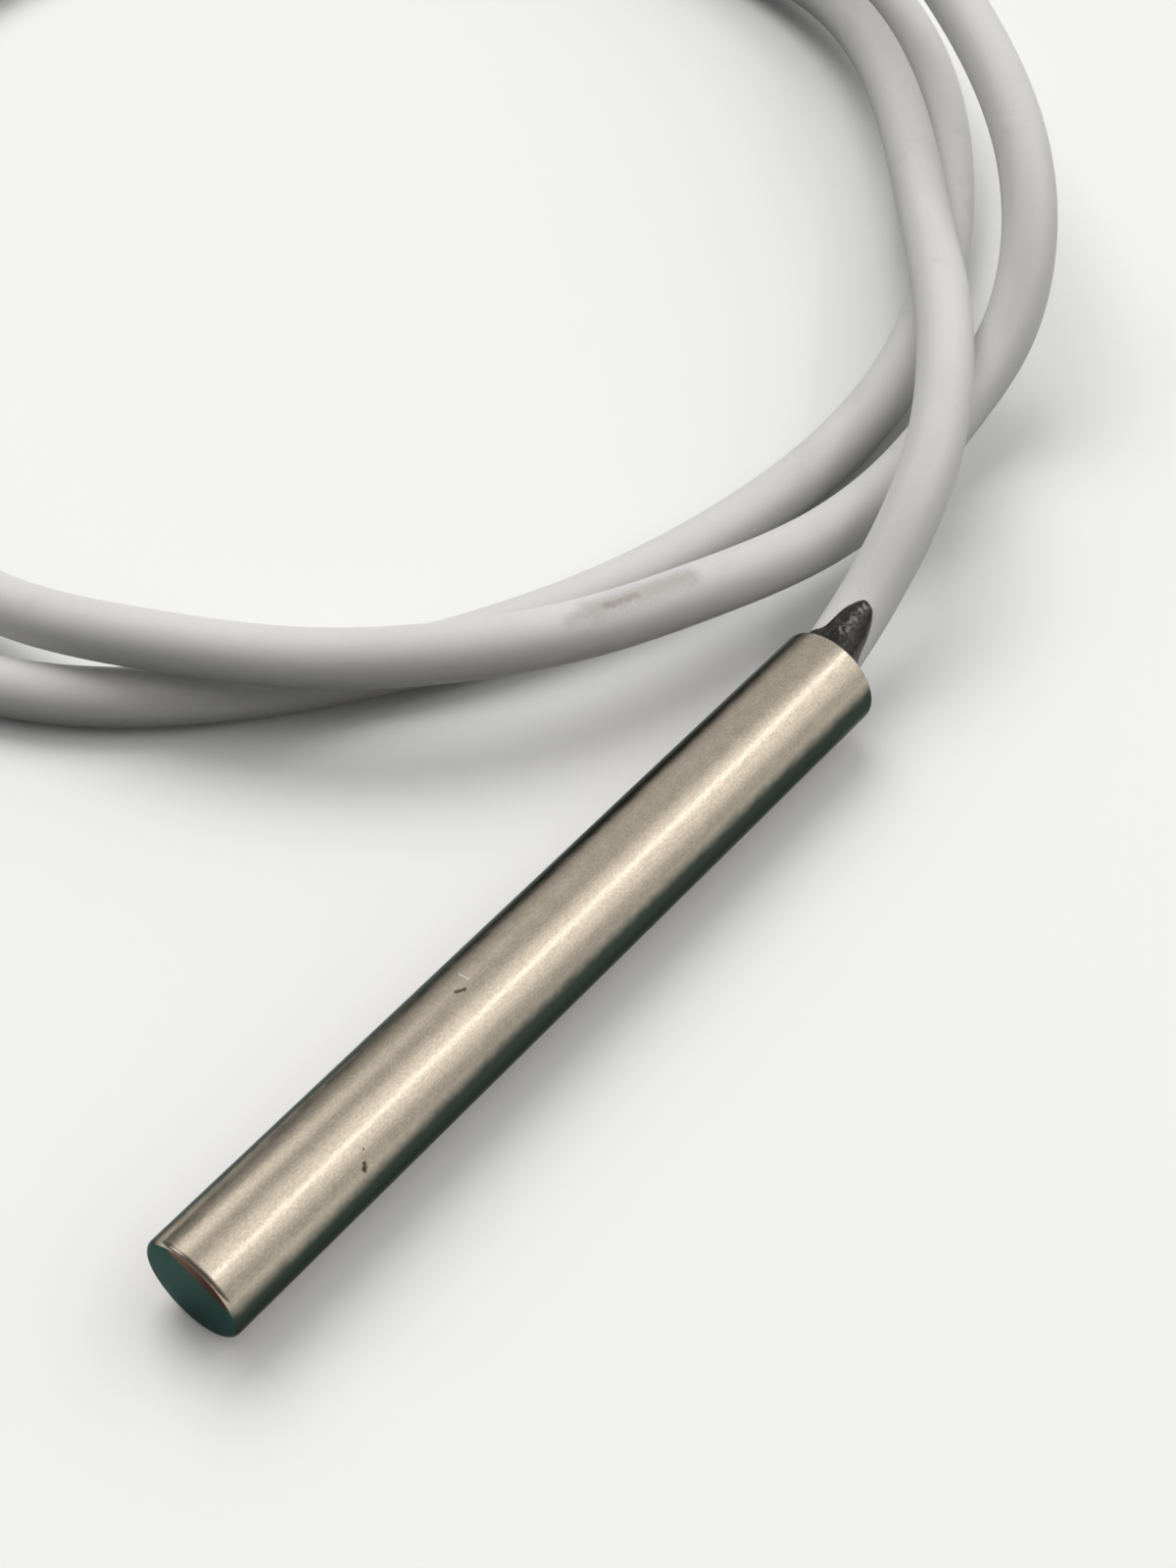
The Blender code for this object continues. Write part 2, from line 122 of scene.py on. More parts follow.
studio = {
    "floorRadius": 1.3, "floorSides": 96, "floorDrop": 0.00007,
    "floorPale": colour(0.95, 0.95, 0.945),
    "floorBounce": colour(0.035, 0.045, 0.042),   # what the floor gives back onto the object
    # room light on the dim side and on the bright side, and the way to the bright one
    "low": colour(0.11, 0.11, 0.11),
    "high": colour(0.56, 0.56, 0.55),
    "lean": (0.80, -0.20, 0.55), "leanSpan": (0.0, 0.5),
    # broad soft lights: direction, degrees from the middle at which they start and are full
    "key": {"from": (0.45, -0.44, 0.78), "spread": (40, 4), "shade": colour(1.22, 1.21, 1.18)},
    "side": {"from": (0.10, 0.66, 0.745), "spread": (22, 6), "shade": colour(1.30, 1.29, 1.25)},
    # lamps that face the probe: a narrow one for the streak along the tube, a large one from
    # behind that the steel doesn't mirror, and a small one that catches the tip's edge
    "strip": {"shape": "RECTANGLE", "size": (0.64, 0.022), "along": (0.29, 0.23, -0.065),
              "place": (0.270, -0.243, 0.477), "power": 0.18, "mirrored": True,
              "shade": (0.98, 0.97, 1.0)},
    "back": {"shape": "DISK", "size": (1.80, 1.80), "along": (1.0, 0.0, 0.0),
             "place": (0.690, 1.194, 1.965), "power": 26.0, "mirrored": False},
    "glint": {"shape": "DISK", "size": (0.28, 0.28), "along": (1.0, 0.0, 0.0),
              "place": (-0.310, 0.400, 0.300), "power": 0.20, "mirrored": True},
}


def makeFloor():
    mesh = bpy.data.meshes.new("floor")
    radius, sides = studio["floorRadius"], studio["floorSides"]
    mesh.from_pydata([(radius * math.cos(a), radius * math.sin(a), 0.0)
                      for a in np.linspace(0.0, 2 * math.pi, sides, endpoint=False)],
                     [], [tuple(range(sides))])
    look = bpy.data.materials.new("paleFloor")
    look.use_nodes = True
    tree = look.node_tree
    shader = tree.nodes["Principled BSDF"]
    path = addNode(tree, "ShaderNodeLightPath")
    seen = mathOf(tree, "MAXIMUM", path.outputs["Is Camera Ray"], path.outputs["Is Glossy Ray"])
    seen = mathOf(tree, "MAXIMUM", seen, path.outputs["Is Transmission Ray"])
    tree.links.new(mixOf(tree, seen, studio["floorBounce"], studio["floorPale"]),
                   shader.inputs["Base Color"])
    shader.inputs["Roughness"].default_value = 0.9
    shader.inputs["Specular IOR Level"].default_value = 0.1
    mesh.materials.append(look)
    floor = newItem("floor", mesh)
    floor.location.z = -studio["floorDrop"]


def makeRoom():
    world = bpy.data.worlds.new("room")
    bpy.context.scene.world = world
    world.use_nodes = True
    tree = world.node_tree
    direction = addNode(tree, "ShaderNodeTexCoord").outputs["Generated"]
    rise = vectorOf(tree, "DOT_PRODUCT", direction, tuple(Vector(studio["lean"]).normalized()))
    light = mixOf(tree, rangeOf(tree, rise, *studio["leanSpan"]), studio["low"], studio["high"])
    for name in ("side", "key"):
        data = studio[name]
        facing = vectorOf(tree, "DOT_PRODUCT", direction, tuple(Vector(data["from"]).normalized()))
        outer, inner = (math.cos(math.radians(a)) for a in data["spread"])
        light = mixOf(tree, rangeOf(tree, facing, outer, inner), light, data["shade"])
    seen = addNode(tree, "ShaderNodeLightPath").outputs["Is Camera Ray"]
    tree.links.new(mixOf(tree, seen, light, colour(1.0, 1.0, 1.0)),
                   tree.nodes["Background"].inputs["Color"])


def makeLamp(name):
    data = studio[name]
    lamp = bpy.data.lights.new(name, "AREA")
    lamp.shape, lamp.energy = data["shape"], data["power"]
    lamp.size, lamp.size_y = data["size"]
    lamp.color = data.get("shade", (1.0, 1.0, 1.0))
    item = newItem(name, lamp)
    item.location = data["place"]
    back = Vector(data["place"]).normalized()
    across = Vector(data["along"])
    across = (across - back * across.dot(back)).normalized()
    item.rotation_euler = Matrix((across, back.cross(across), back)).transposed().to_euler()
    item.visible_glossy = data["mirrored"]


makeFloor()
makeRoom()
for name in ("strip", "back", "glint"):
    makeLamp(name)
print("studio ready")


def groupOf(name, inputs, output):
    tree = bpy.data.node_groups.new(name, "ShaderNodeTree")
    for label, kind, value in inputs:
        socket = tree.interface.new_socket(label, in_out="INPUT", socket_type=kind)
        if value is not None:
            socket.default_value = value
    tree.interface.new_socket(output, in_out="OUTPUT", socket_type="NodeSocketFloat")
    return tree, addNode(tree, "NodeGroupInput").outputs


def makeGrain():
    # soft noise drawn out along the vector's axes, around 0.5
    tree, given = groupOf("fineGrain", [
        ("Vector", "NodeSocketVector", None), ("Stretch", "NodeSocketVector", (1.0, 1.0, 1.0)),
        ("Scale", "NodeSocketFloat", 1000.0), ("Detail", "NodeSocketFloat", 3.0)], "Value")
    place = vectorOf(tree, "MULTIPLY", given["Vector"], given["Stretch"])
    value = noiseOf(tree, place, given["Scale"], given["Detail"], 0.6)
    addNode(tree, "NodeGroupOutput", {"Value": value})
    return tree


def makeScuffs():
    # scattered marks: where two noises are both high
    tree, given = groupOf("scuffs", [
        ("Vector", "NodeSocketVector", None), ("Scale", "NodeSocketFloat", 300.0),
        ("Coverage", "NodeSocketFloat", 0.4), ("Softness", "NodeSocketFloat", 0.08)], "Mask")
    coarse = noiseOf(tree, given["Vector"], given["Scale"], 2.0)
    fine = noiseOf(tree, given["Vector"], times(tree, given["Scale"], 6.0), 3.0)
    both = plus(tree, times(tree, coarse, 0.7), times(tree, fine, 0.3))
    edge = minus(tree, 1.0, given["Coverage"])
    low = minus(tree, edge, given["Softness"])
    mask = rangeOf(tree, both, low, plus(tree, edge, given["Softness"]))
    addNode(tree, "NodeGroupOutput", {"Mask": mask})
    return tree


def makeStroke():
    # a ragged mark along the straight line between two points
    tree, given = groupOf("strokeMark", [
        ("Vector", "NodeSocketVector", None), ("Start", "NodeSocketVector", (0.0, 0.0, 0.0)),
        ("End", "NodeSocketVector", (0.001, 0.0, 0.0)), ("Width", "NodeSocketFloat", 0.0001),
        ("Ragged", "NodeSocketFloat", 0.0), ("Soft", "NodeSocketFloat", 0.5)], "Mask")
    reach = vectorOf(tree, "SUBTRACT", given["End"], given["Start"])
    away = vectorOf(tree, "SUBTRACT", given["Vector"], given["Start"])
    share = mathOf(tree, "DIVIDE", vectorOf(tree, "DOT_PRODUCT", away, reach),
                   vectorOf(tree, "DOT_PRODUCT", reach, reach), clamp=True)
    gap = vectorOf(tree, "SUBTRACT", away, vectorOf(tree, "MULTIPLY", reach, share))
    gap = vectorOf(tree, "LENGTH", gap)
    torn = noiseOf(tree, given["Vector"], 4500.0, 3.0)      # ragged over a fifth of a mm
    shift = times(tree, minus(tree, torn, 0.5), given["Ragged"])
    blur = times(tree, given["Width"], given["Soft"])
    outer = plus(tree, given["Width"], blur)
    inside = minus(tree, given["Width"], blur)
    mask = rangeOf(tree, mathOf(tree, "MULTIPLY_ADD", shift, 2.0, gap), outer, inside)
    addNode(tree, "NodeGroupOutput", {"Mask": mask})
    return tree


fineGrain = makeGrain()
scuffs = makeScuffs()
strokeMark = makeStroke()


def grainOf(tree, vector, scale, stretch=(1.0, 1.0, 1.0), detail=3.0):
    inputs = {"Vector": vector, "Stretch": stretch, "Scale": scale, "Detail": detail}
    return addNode(tree, "ShaderNodeGroup", inputs, node_tree=fineGrain).outputs["Value"]


def scuffOf(tree, vector, scale, coverage, softness):
    inputs = {"Vector": vector, "Scale": scale, "Coverage": coverage, "Softness": softness}
    return addNode(tree, "ShaderNodeGroup", inputs, node_tree=scuffs).outputs["Mask"]


def strokeOf(tree, vector, start, end, width, ragged, soft):
    # takes mm, as the marks are written
    inputs = {"Vector": vector, "Start": [v / 1000 for v in start], "End": [v / 1000 for v in end],
              "Width": width / 1000, "Ragged": ragged / 1000, "Soft": soft}
    return addNode(tree, "ShaderNodeGroup", inputs, node_tree=strokeMark).outputs["Mask"]


def newLook(name, metallic=0.0, level=0.5):
    look = bpy.data.materials.new(name)
    look.use_nodes = True
    shader = look.node_tree.nodes["Principled BSDF"]
    shader.inputs["Metallic"].default_value = metallic
    shader.inputs["Specular IOR Level"].default_value = level
    return look, look.node_tree, shader


def finishLook(tree, shader, skin, rough, height, distance, strength=1.0):
    bump = addNode(tree, "ShaderNodeBump", {"Height": height, "Distance": distance, "Strength": strength})
    for name, socket in (("Base Color", skin), ("Roughness", rough), ("Normal", bump.outputs["Normal"])):
        tree.links.new(socket, shader.inputs[name])


def plainLook(name, base, rough, metallic=0.0, grain=2500.0, tone=0.08, laid=False, depth=0.000004):
    # a moulded, drawn or plated finish: slight mottling, uneven gloss and fine relief
    look, tree, shader = newLook(name, metallic)
    if laid:
        place = addNode(tree, "ShaderNodeAttribute", attribute_name="laid").outputs["Vector"]
        fine = grainOf(tree, place, grain, (1.0, 1.0, 0.08))
    else:
        place = addNode(tree, "ShaderNodeTexCoord").outputs["Object"]
        fine = grainOf(tree, place, grain)
    broad = grainOf(tree, place, grain / 12)
    shade = plus(tree, times(tree, fine, 0.5), times(tree, broad, 0.5))
    dark = colour(*(c * (1 - tone) for c in base))
    pale = colour(*(min(1.0, c * (1 + tone)) for c in base))
    skin = mixOf(tree, rangeOf(tree, shade, 0.35, 0.65), dark, pale)
    gloss = rangeOf(tree, broad, 0.3, 0.7, rough * 0.85, rough * 1.15)
    finishLook(tree, shader, skin, gloss, fine, depth)
    return look


steel = {
    "pale": colour(0.660, 0.575, 0.468),
    "dull": colour(0.535, 0.465, 0.372),
    "sand": 8000.0, "patch": 1500.0, "drawn": (0.7, 1.0, 1.0),   # grain per metre, its stretch
    "relief": 0.0000022,
    "rough": (0.20, 0.27),
    "edge": colour(0.50, 0.52, 0.51),     # tint at a grazing angle
    # painted reflection of the dark mat on the tube's lower flanks
    "paintedMatReflection": colour(0.046, 0.060, 0.050),
    # the next seven are degrees round the tube from its top towards -Y
    "near": (49, 74),        # over which the flank darkens
    "nearTip": 8,            # how much further round that is at the closed end
    "far": (25, 43),         # the same on the other side, towards +Y
    "nearEnd": (150, 122),   # over which each of them gives way to bare steel underneath
    "farEnd": (-105, -72),
    "wobble": 9,
    "stainTurn": (-10, 40),  # over which the stain on the tip turns browner
    "drift": (100, 240),     # degrees per metre along X by which each flank's edge moves
    "tipReach": (-0.004, -0.022),
    "mouthReach": 0.020, "mouthShare": 0.6,   # the far flank is weaker near the mouth
    # painted reflection: the closed end's dark teal stands in for the mat mirrored in it
    "tip": colour(0.027, 0.078, 0.070),
    "tipDepth": (0.00009, 0.00004), "tipRim": (0.00295, 0.00285),
    "stain": (colour(0.15, 0.095, 0.068), colour(0.075, 0.028, 0.020)),
    "stainLean": 21,         # degrees by which the stain's straight edge leans
    "stainEdge": (0.00205, 0.00225), "stainTorn": 0.0003,
    # start and end in mm, width in mm, raggedness in mm, tone
    "marks": [((-5.76, 0.245, 5.990), (-5.38, 0.045, 6.000), 0.10, 0.10, colour(0.15, 0.135, 0.10)),
              ((-4.78, 0.946, 5.847), (-4.787, 0.322, 5.982), 0.04, 0.02, colour(0.97, 0.93, 0.84)),
              ((-15.41, -2.405, 4.793), (-15.62, -2.542, 4.593), 0.12, 0.20, colour(0.10, 0.080, 0.055)),
              ((-15.03, -2.003, 5.233), (-15.06, -2.020, 5.215), 0.05, 0.05, colour(0.16, 0.130, 0.095))],
}


def steelLook():
    look, tree, shader = newLook("satinSteel", 1.0)
    place = addNode(tree, "ShaderNodeTexCoord").outputs["Object"]
    along, across, up = addNode(tree, "ShaderNodeSeparateXYZ", {0: place}).outputs
    rise = minus(tree, up, axisHeight)
    aside = times(tree, across, -1.0)
    turn = mathOf(tree, "DEGREES", mathOf(tree, "ARCTAN2", aside, rise))
    reach = mathOf(tree, "SQRT", plus(tree, times(tree, rise, rise), times(tree, aside, aside)))
    sand = grainOf(tree, place, steel["sand"], steel["drawn"], 4.0)
    patch = grainOf(tree, place, steel["patch"], steel["drawn"])
    worn = plus(tree, times(tree, sand, 0.7), times(tree, patch, 0.3))
    skin = mixOf(tree, rangeOf(tree, worn, 0.38, 0.62), steel["dull"], steel["pale"])
    # painted reflection: the lower flanks are painted in the dark mat's tone, as if the mat under the
    # probe were mirrored in them
    wobble = mathOf(tree, "MULTIPLY_ADD", patch, steel["wobble"], -steel["wobble"] / 2)
    seen = plus(tree, turn, wobble)
    nearDrift, farDrift = steel["drift"]
    tipward = rangeOf(tree, along, *steel["tipReach"], 0.0, -steel["nearTip"])
    tipward = mathOf(tree, "MULTIPLY_ADD", along, -nearDrift, tipward)
    near = rangeOf(tree, plus(tree, seen, tipward), *steel["near"])
    far = minus(tree, times(tree, along, farDrift), seen)
    far = rangeOf(tree, far, *steel["far"])
    # and give way to bare steel underneath, out of the photo's sight
    near = times(tree, near, rangeOf(tree, turn, *steel["nearEnd"]))
    far = times(tree, far, rangeOf(tree, turn, *steel["farEnd"]))
    mouthward = rangeOf(tree, along, mouthX, mouthX - steel["mouthReach"], steel["mouthShare"], 1.0)
    far = times(tree, far, mouthward)
    skin = mixOf(tree, mathOf(tree, "MAXIMUM", near, far), skin, steel["paintedMatReflection"])
    # closed end: dark teal painted reflection of the mat under the probe, browner along its upper edge
    onFace = rangeOf(tree, along, *(tipX + depth for depth in steel["tipDepth"]))
    onFace = times(tree, onFace, rangeOf(tree, reach, *steel["tipRim"]))
    lean = math.radians(steel["stainLean"])
    upper = plus(tree, times(tree, rise, math.cos(lean)), times(tree, aside, math.sin(lean)))
    upper = mathOf(tree, "MULTIPLY_ADD", patch, steel["stainTorn"], upper)
    brown = mixOf(tree, rangeOf(tree, turn, *steel["stainTurn"]), *steel["stain"])
    face = mixOf(tree, rangeOf(tree, upper, *steel["stainEdge"]), steel["tip"], brown)
    skin = mixOf(tree, onFace, skin, face)
    for start, end, width, ragged, tone in steel["marks"]:
        skin = mixOf(tree, strokeOf(tree, place, start, end, width, ragged, 0.5), skin, tone)
    shader.inputs["Specular Tint"].default_value = steel["edge"]
    gloss = rangeOf(tree, patch, 0.3, 0.7, *steel["rough"])
    finishLook(tree, shader, skin, gloss, sand, steel["relief"])
    return look


jacket = {
    "base": colour(0.715, 0.708, 0.706),
    "dull": colour(0.685, 0.678, 0.674),
    "grime": colour(0.38, 0.345, 0.315),
    "rough": (0.40, 0.50),
    "lines": 3600.0, "mottle": 120.0,     # per metre: fine lines along the jacket, broad tone
    "specks": (260.0, 0.36, 0.05), "speckShare": 0.12,
    "relief": 0.000004,
    # rubbed-in dirt: start and end in mm, width and raggedness in mm, strength
    "smudges": [((18.709, 10.746, 6.675), (19.079, 10.540, 6.622), 0.19, 0.16, 1.00),
                ((19.483, 10.452, 6.588), (20.504, 10.077, 6.465), 0.19, 0.18, 0.80),
                ((17.864, 11.115, 6.772), (23.778, 9.045, 6.066), 0.60, 0.35, 0.62),
                ((16.464, 11.464, 6.831), (17.000, 11.300, 6.800), 0.35, 0.25, 0.40)],
}


def jacketLook():
    look, tree, shader = newLook("greyJacket", 0.0, 0.45)
    laid = addNode(tree, "ShaderNodeAttribute", attribute_name="laid").outputs["Vector"]
    drawn = grainOf(tree, laid, jacket["lines"], (1.0, 1.0, 0.06))
    broad = grainOf(tree, laid, jacket["mottle"], (3.0, 3.0, 1.0))
    skin = mixOf(tree, rangeOf(tree, broad, 0.35, 0.65), jacket["dull"], jacket["base"])
    specks = times(tree, scuffOf(tree, laid, *jacket["specks"]), jacket["speckShare"])
    skin = mixOf(tree, specks, skin, jacket["grime"])
    place = addNode(tree, "ShaderNodeTexCoord").outputs["Object"]
    for start, end, width, ragged, share in jacket["smudges"]:
        smudge = strokeOf(tree, place, start, end, width, ragged, 1.0)
        skin = mixOf(tree, times(tree, smudge, share), skin, jacket["grime"])
    gloss = rangeOf(tree, drawn, 0.3, 0.7, *jacket["rough"])
    finishLook(tree, shader, skin, gloss, drawn, jacket["relief"])
    return look


potting = {
    "dark": colour(0.010, 0.0085, 0.0085),
    "pale": colour(0.024, 0.018, 0.0165),
    "crestHighlight": colour(0.250, 0.222, 0.212),   # painted highlight: pale along the crest of the tongue, broken up like bubbles
    "crest": ((26.15, 0.10, 5.74), (28.20, 0.04, 5.93), 0.22, 0.30),
    "dimples": 2600.0, "cloud": 900.0, "highlightBreakup": 3800.0,   # per metre
    "rough": (0.12, 0.22), "relief": (0.00004, 0.7),
}


def pottingLook():
    look, tree, shader = newLook("castEpoxy", 0.0, 0.35)
    place = addNode(tree, "ShaderNodeTexCoord").outputs["Object"]
    inputs = {"Vector": place, "Scale": potting["dimples"], "Smoothness": 0.6}
    dimples = addNode(tree, "ShaderNodeTexVoronoi", inputs, feature="SMOOTH_F1").outputs["Distance"]
    cloud = grainOf(tree, place, potting["cloud"])
    skin = mixOf(tree, rangeOf(tree, cloud, 0.35, 0.65), potting["dark"], potting["pale"])
    # painted highlight along the crest, broken up by noise
    highlightBreakup = rangeOf(tree, grainOf(tree, place, potting["highlightBreakup"]), 0.38, 0.62)
    paintedHighlight = times(tree, strokeOf(tree, place, *potting["crest"], 1.0), highlightBreakup)
    skin = mixOf(tree, paintedHighlight, skin, potting["crestHighlight"])
    gloss = rangeOf(tree, cloud, 0.3, 0.7, *potting["rough"])
    finishLook(tree, shader, skin, gloss, plus(tree, dimples, cloud), *potting["relief"])
    return look


# everything below is in metres in the CAD's frame: +X to the mouth, +Z up
probe = {
    "length": 0.050, "diameter": 0.006, "wall": 0.00035, "tipWall": 0.0006,
    "tipCorner": 0.00035, "innerCorner": 0.0002, "rim": 0.00010, "steps": 192,
}
axisHeight = probe["diameter"] / 2
boreRadius = probe["diameter"] / 2 - probe["wall"]
mouthX = probe["length"] / 2
tipX = -mouthX

cable = {
    "diameter": 0.0034,
    "grip": 0.0160,                      # length potted inside the probe
    "mouth": (0.00039969, 0.00055013),   # sideways and up, where it leaves the probe
    "step": 0.0008,
    "sides": 40,
}

# past the mouth's plane, sideways, height of the cable's underside, in mm
cableRoute = [
    (4.8, 1.0, 2.9), (8.8, 1.6, 4.6), (13.8, 3.2, 6.1), (18.8, 5.9, 6.6), (26.1, 11.1, 5.7),
    (34.2, 17.9, 4.0), (43.5, 26.4, 2.6), (51.5, 37.5, 1.5), (54.0, 49.5, 0.4), (52.6, 62.0, 0.1),
    (45.8, 76.0, 0.1), (32.6, 85.2, 0.1), (16.0, 87.8, 0.1), (-2.0, 84.6, 0.1), (-16.4, 72.6, 0.4),
    (-24.2, 55.0, 1.3), (-25.9, 38.7, 2.3), (-23.4, 29.3, 3.7), (-19.4, 21.9, 4.0),
    (-14.1, 16.0, 4.0), (-7.1, 11.4, 3.4), (0.1, 8.7, 2.5), (7.5, 6.6, 1.8), (12.5, 6.0, 1.6),
    (18.2, 6.2, 1.6), (22.8, 6.6, 2.1), (26.8, 6.9, 3.5), (30.4, 8.0, 5.7), (35.1, 11.2, 8.3),
    (41.7, 18.2, 9.7), (46.6, 24.7, 9.7), (54.0, 38.5, 9.1), (56.4, 50.5, 6.8), (55.4, 62.5, 4.0),
    (50.4, 78.0, 0.7), (35.6, 89.0, 0.1), (16.0, 91.75, 0.1), (-4.5, 88.3, 0.1), (-21.4, 75.6, 0.1),
    (-31.0, 56.5, 0.0), (-29.0, 35.9, 0.0), (-24.8, 29.5, 0.0), (-16.7, 22.2, 0.0),
    (-6.6, 16.2, 0.0), (6.4, 12.1, 0.0), (17.3, 11.3, 0.0), (28.1, 13.4, 0.0), (39.6, 19.3, 0.0),
    (49.1, 26.9, 0.0), (55.8, 35.9, 0.0), (58.6, 44.0, 0.25), (59.5, 52.5, 0.65), (58.6, 60.9, 0.7),
]


def splineThrough(points, step):
    # natural cubic spline by chord length, then points evenly spaced along it
    knots = np.array(points, dtype=float)
    chords = np.linalg.norm(np.diff(knots, axis=0), axis=1)
    at = np.concatenate([[0.0], np.cumsum(chords)])
    size = len(knots)
    matrix, bends = np.eye(size), np.zeros((size, 3))
    for i in range(1, size - 1):
        matrix[i, i - 1:i + 2] = chords[i - 1], 2 * (chords[i - 1] + chords[i]), chords[i]
        bends[i] = 6 * ((knots[i + 1] - knots[i]) / chords[i] - (knots[i] - knots[i - 1]) / chords[i - 1])
    bends = np.linalg.solve(matrix, bends)
    wanted = np.linspace(0.0, at[-1], 40 * size)
    k = np.clip(np.searchsorted(at, wanted, side="right") - 1, 0, size - 2)
    chord, left, right = chords[k][:, None], (at[k + 1] - wanted)[:, None], (wanted - at[k])[:, None]
    fine = (bends[k] * left**3 + bends[k + 1] * right**3) / (6 * chord)
    fine += (knots[k] / chord - bends[k] * chord / 6) * left
    fine += (knots[k + 1] / chord - bends[k + 1] * chord / 6) * right
    run = np.concatenate([[0.0], np.cumsum(np.linalg.norm(np.diff(fine, axis=0), axis=1))])
    even = np.linspace(0.0, run[-1], max(2, round(run[-1] / step)) + 1)
    return np.column_stack([np.interp(even, run, fine[:, i]) for i in range(3)]), run[-1]


def cableLine(step):
    sideways, lift = cable["mouth"]
    points = [(mouthX - cable["grip"], 0.0, axisHeight),
              (mouthX - cable["grip"] / 2, sideways / 4, axisHeight + lift / 4),
              (mouthX, sideways, axisHeight + lift)]
    points += [(mouthX + x / 1000, y / 1000, cable["diameter"] / 2 + z / 1000) for x, y, z in cableRoute]
    return splineThrough(points, step)


def roundTree():
    tree = bpy.data.node_groups.new("roundAlongPath", "GeometryNodeTree")
    for name, kind in (("Path", "NodeSocketGeometry"), ("Radius", "NodeSocketFloat"),
                       ("Sides", "NodeSocketInt"), ("Finish", "NodeSocketMaterial")):
        tree.interface.new_socket(name, in_out="INPUT", socket_type=kind)
    tree.interface.new_socket("Piece", in_out="OUTPUT", socket_type="NodeSocketGeometry")
    given = addNode(tree, "NodeGroupInput").outputs
    curve = addNode(tree, "GeometryNodeMeshToCurve", {"Mesh": given["Path"]}).outputs["Curve"]
    length = addNode(tree, "GeometryNodeSplineParameter").outputs["Length"]
    alongNode = addNode(tree, "GeometryNodeCaptureAttribute", {"Geometry": curve})
    alongNode.capture_items.new("FLOAT", "Along")
    tree.links.new(length, alongNode.inputs["Along"])
    ring = addNode(tree, "GeometryNodeCurvePrimitiveCircle",
                   {"Resolution": given["Sides"], "Radius": given["Radius"]}).outputs["Curve"]
    aroundNode = addNode(tree, "GeometryNodeCaptureAttribute", {"Geometry": ring})
    aroundNode.capture_items.new("VECTOR", "Around")
    tree.links.new(addNode(tree, "GeometryNodeInputPosition").outputs[0], aroundNode.inputs["Around"])
    swept = addNode(tree, "GeometryNodeCurveToMesh", {
        "Curve": alongNode.outputs["Geometry"], "Profile Curve": aroundNode.outputs["Geometry"],
        "Fill Caps": True}).outputs["Mesh"]
    # straightened place of each point: across in X and Y, along the piece in Z
    split = addNode(tree, "ShaderNodeSeparateXYZ", {0: aroundNode.outputs["Around"]}).outputs
    laid = addNode(tree, "ShaderNodeCombineXYZ",
                   {0: split[0], 1: split[1], 2: alongNode.outputs["Along"]}).outputs[0]
    stored = addNode(tree, "GeometryNodeStoreNamedAttribute",
                     {"Geometry": swept, "Name": "laid", "Value": laid},
                     data_type="FLOAT_VECTOR", domain="POINT").outputs["Geometry"]
    done = addNode(tree, "GeometryNodeSetMaterial",
                   {"Geometry": stored, "Material": given["Finish"]}).outputs["Geometry"]
    addNode(tree, "NodeGroupOutput", {"Piece": done})
    return tree


def meshFromTree(name, points, edges, tree, values):
    # runs the tree once on a wire mesh and keeps its result as a plain mesh
    wire = bpy.data.meshes.new(name)
    wire.from_pydata([tuple(p) for p in points], edges, [])
    item = newItem(name, wire)
    step = item.modifiers.new("Form", "NODES")
    step.node_group = tree
    for socket in tree.interface.items_tree:
        if socket.in_out == "INPUT" and socket.name in values:
            step[socket.identifier] = values[socket.name]
    mesh = bakedMesh(item)
    item.modifiers.remove(step)
    item.data = mesh
    bpy.data.meshes.remove(wire)
    mesh.name = name
    return item


def bakedMesh(item):
    graph = bpy.context.evaluated_depsgraph_get()
    return bpy.data.meshes.new_from_object(item.evaluated_get(graph))


def meshFrom(shape, name):
    mesh = bpy.data.meshes.new(name)
    shape.to_mesh(mesh)
    shape.free()
    return mesh


def smoothSides(item, sharpDegrees=40.0):
    item.data.shade_smooth()
    item.data.set_sharp_from_angle(angle=math.radians(sharpDegrees))
    return item


roundAlongPath = roundTree()


def roundPiece(name, lines, diameter, sides, look):
    points, edges = [], []
    for line in lines:
        edges += [(len(points) + i, len(points) + i + 1) for i in range(len(line) - 1)]
        points += [tuple(p) for p in line]
    values = {"Radius": diameter / 2, "Sides": sides, "Finish": look}
    return smoothSides(meshFromTree(name, points, edges, roundAlongPath, values))


def keep(name, mesh, look, sharpDegrees=40.0):
    item = newItem(name, mesh)
    mesh.materials.clear()
    mesh.materials.append(look)
    return smoothSides(item, sharpDegrees)


def loftMesh(name, rings, loop=False):
    # skin over closed rings of points; the ends are closed by a point each, or first meets last
    rings = np.asarray(rings, dtype=float)
    rows, around = rings.shape[:2]
    points = [tuple(p) for p in rings.reshape(-1, 3)]
    faces = []
    for i in range(rows if loop else rows - 1):
        a, b = i * around, (i + 1) % rows * around
        faces += [(a + j, a + (j + 1) % around, b + (j + 1) % around, b + j) for j in range(around)]
    if not loop:
        for row in (0, rows - 1):
            points.append(tuple(rings[row].mean(axis=0)))
            a = row * around
            faces += [(a + j, a + (j + 1) % around, len(points) - 1) for j in range(around)]
    mesh = bpy.data.meshes.new(name)
    mesh.from_pydata(points, [], faces)
    shape = bmesh.new()
    shape.from_mesh(mesh)
    bmesh.ops.recalc_face_normals(shape, faces=shape.faces)
    shape.to_mesh(mesh)
    shape.free()
    return mesh


def loftPiece(name, rings, look, loop=False, sharpDegrees=40.0):
    return keep(name, loftMesh(name, rings, loop), look, sharpDegrees)


def turnedRings(profile, at, steps):
    # rings about X for a profile of (radius, distance along X)
    angles = np.linspace(0.0, 2 * math.pi, steps, endpoint=False)
    return [[(at[0] + x, at[1] - r * math.sin(a), at[2] + r * math.cos(a)) for a in angles]
            for r, x in profile]


def arc(radius, centreR, centreX, start, end, steps):
    angles = np.radians(np.linspace(start, end, steps + 1))
    return [(centreR + radius * math.cos(a), centreX + radius * math.sin(a)) for a in angles]


